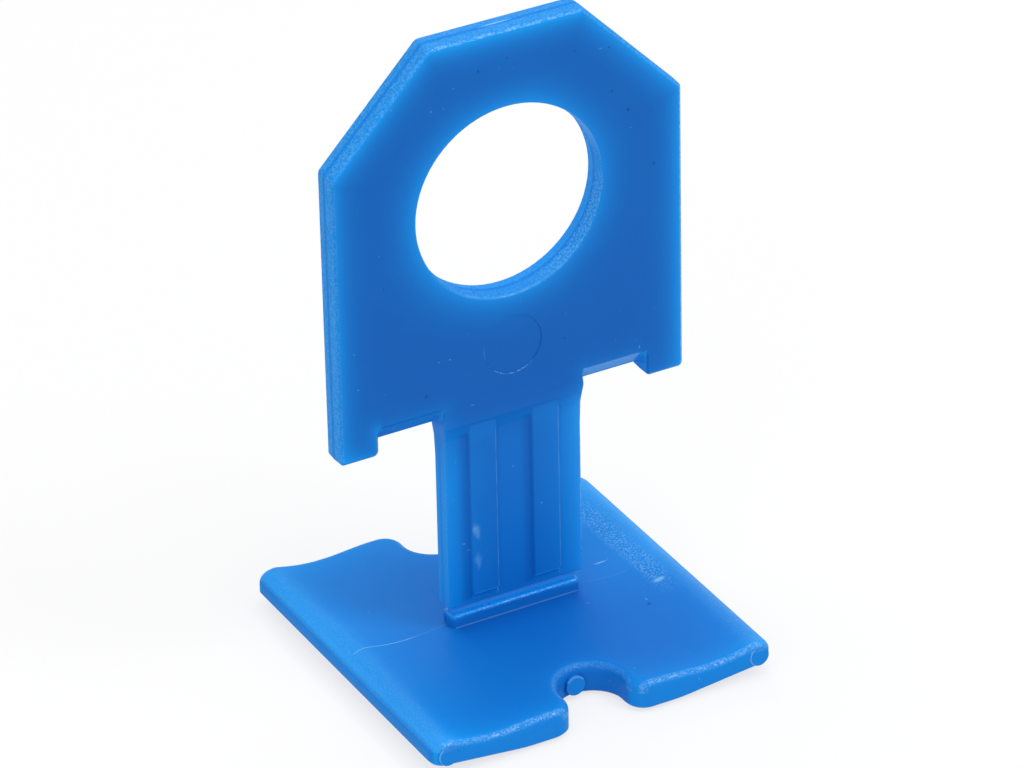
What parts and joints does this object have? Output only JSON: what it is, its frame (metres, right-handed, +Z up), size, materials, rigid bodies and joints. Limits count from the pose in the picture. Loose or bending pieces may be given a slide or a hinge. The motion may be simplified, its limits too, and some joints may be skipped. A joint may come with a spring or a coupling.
{
  "type": "tile levelling clip",
  "caption": "One-piece moulded clip that holds neighbouring tiles level: notched base plate, snap-off stem with raised pads, and an octagonal head with a round hole.",
  "frame": {"origin": "on the mould's parting plane, under the middle of the base plate, at its lowest point", "axes": "+Z up the stem towards the head, +X across the width of the clip, +Y through its thickness towards the rear mould half"},
  "size_m": [0.0342, 0.0338, 0.0613],
  "materials": {
    "blue_plastic": "satin moulded polypropylene, slightly translucent"
  },
  "bodies": {
    "root": {"levelling_clip": "blue_plastic"}
  },
  "joints": []
}
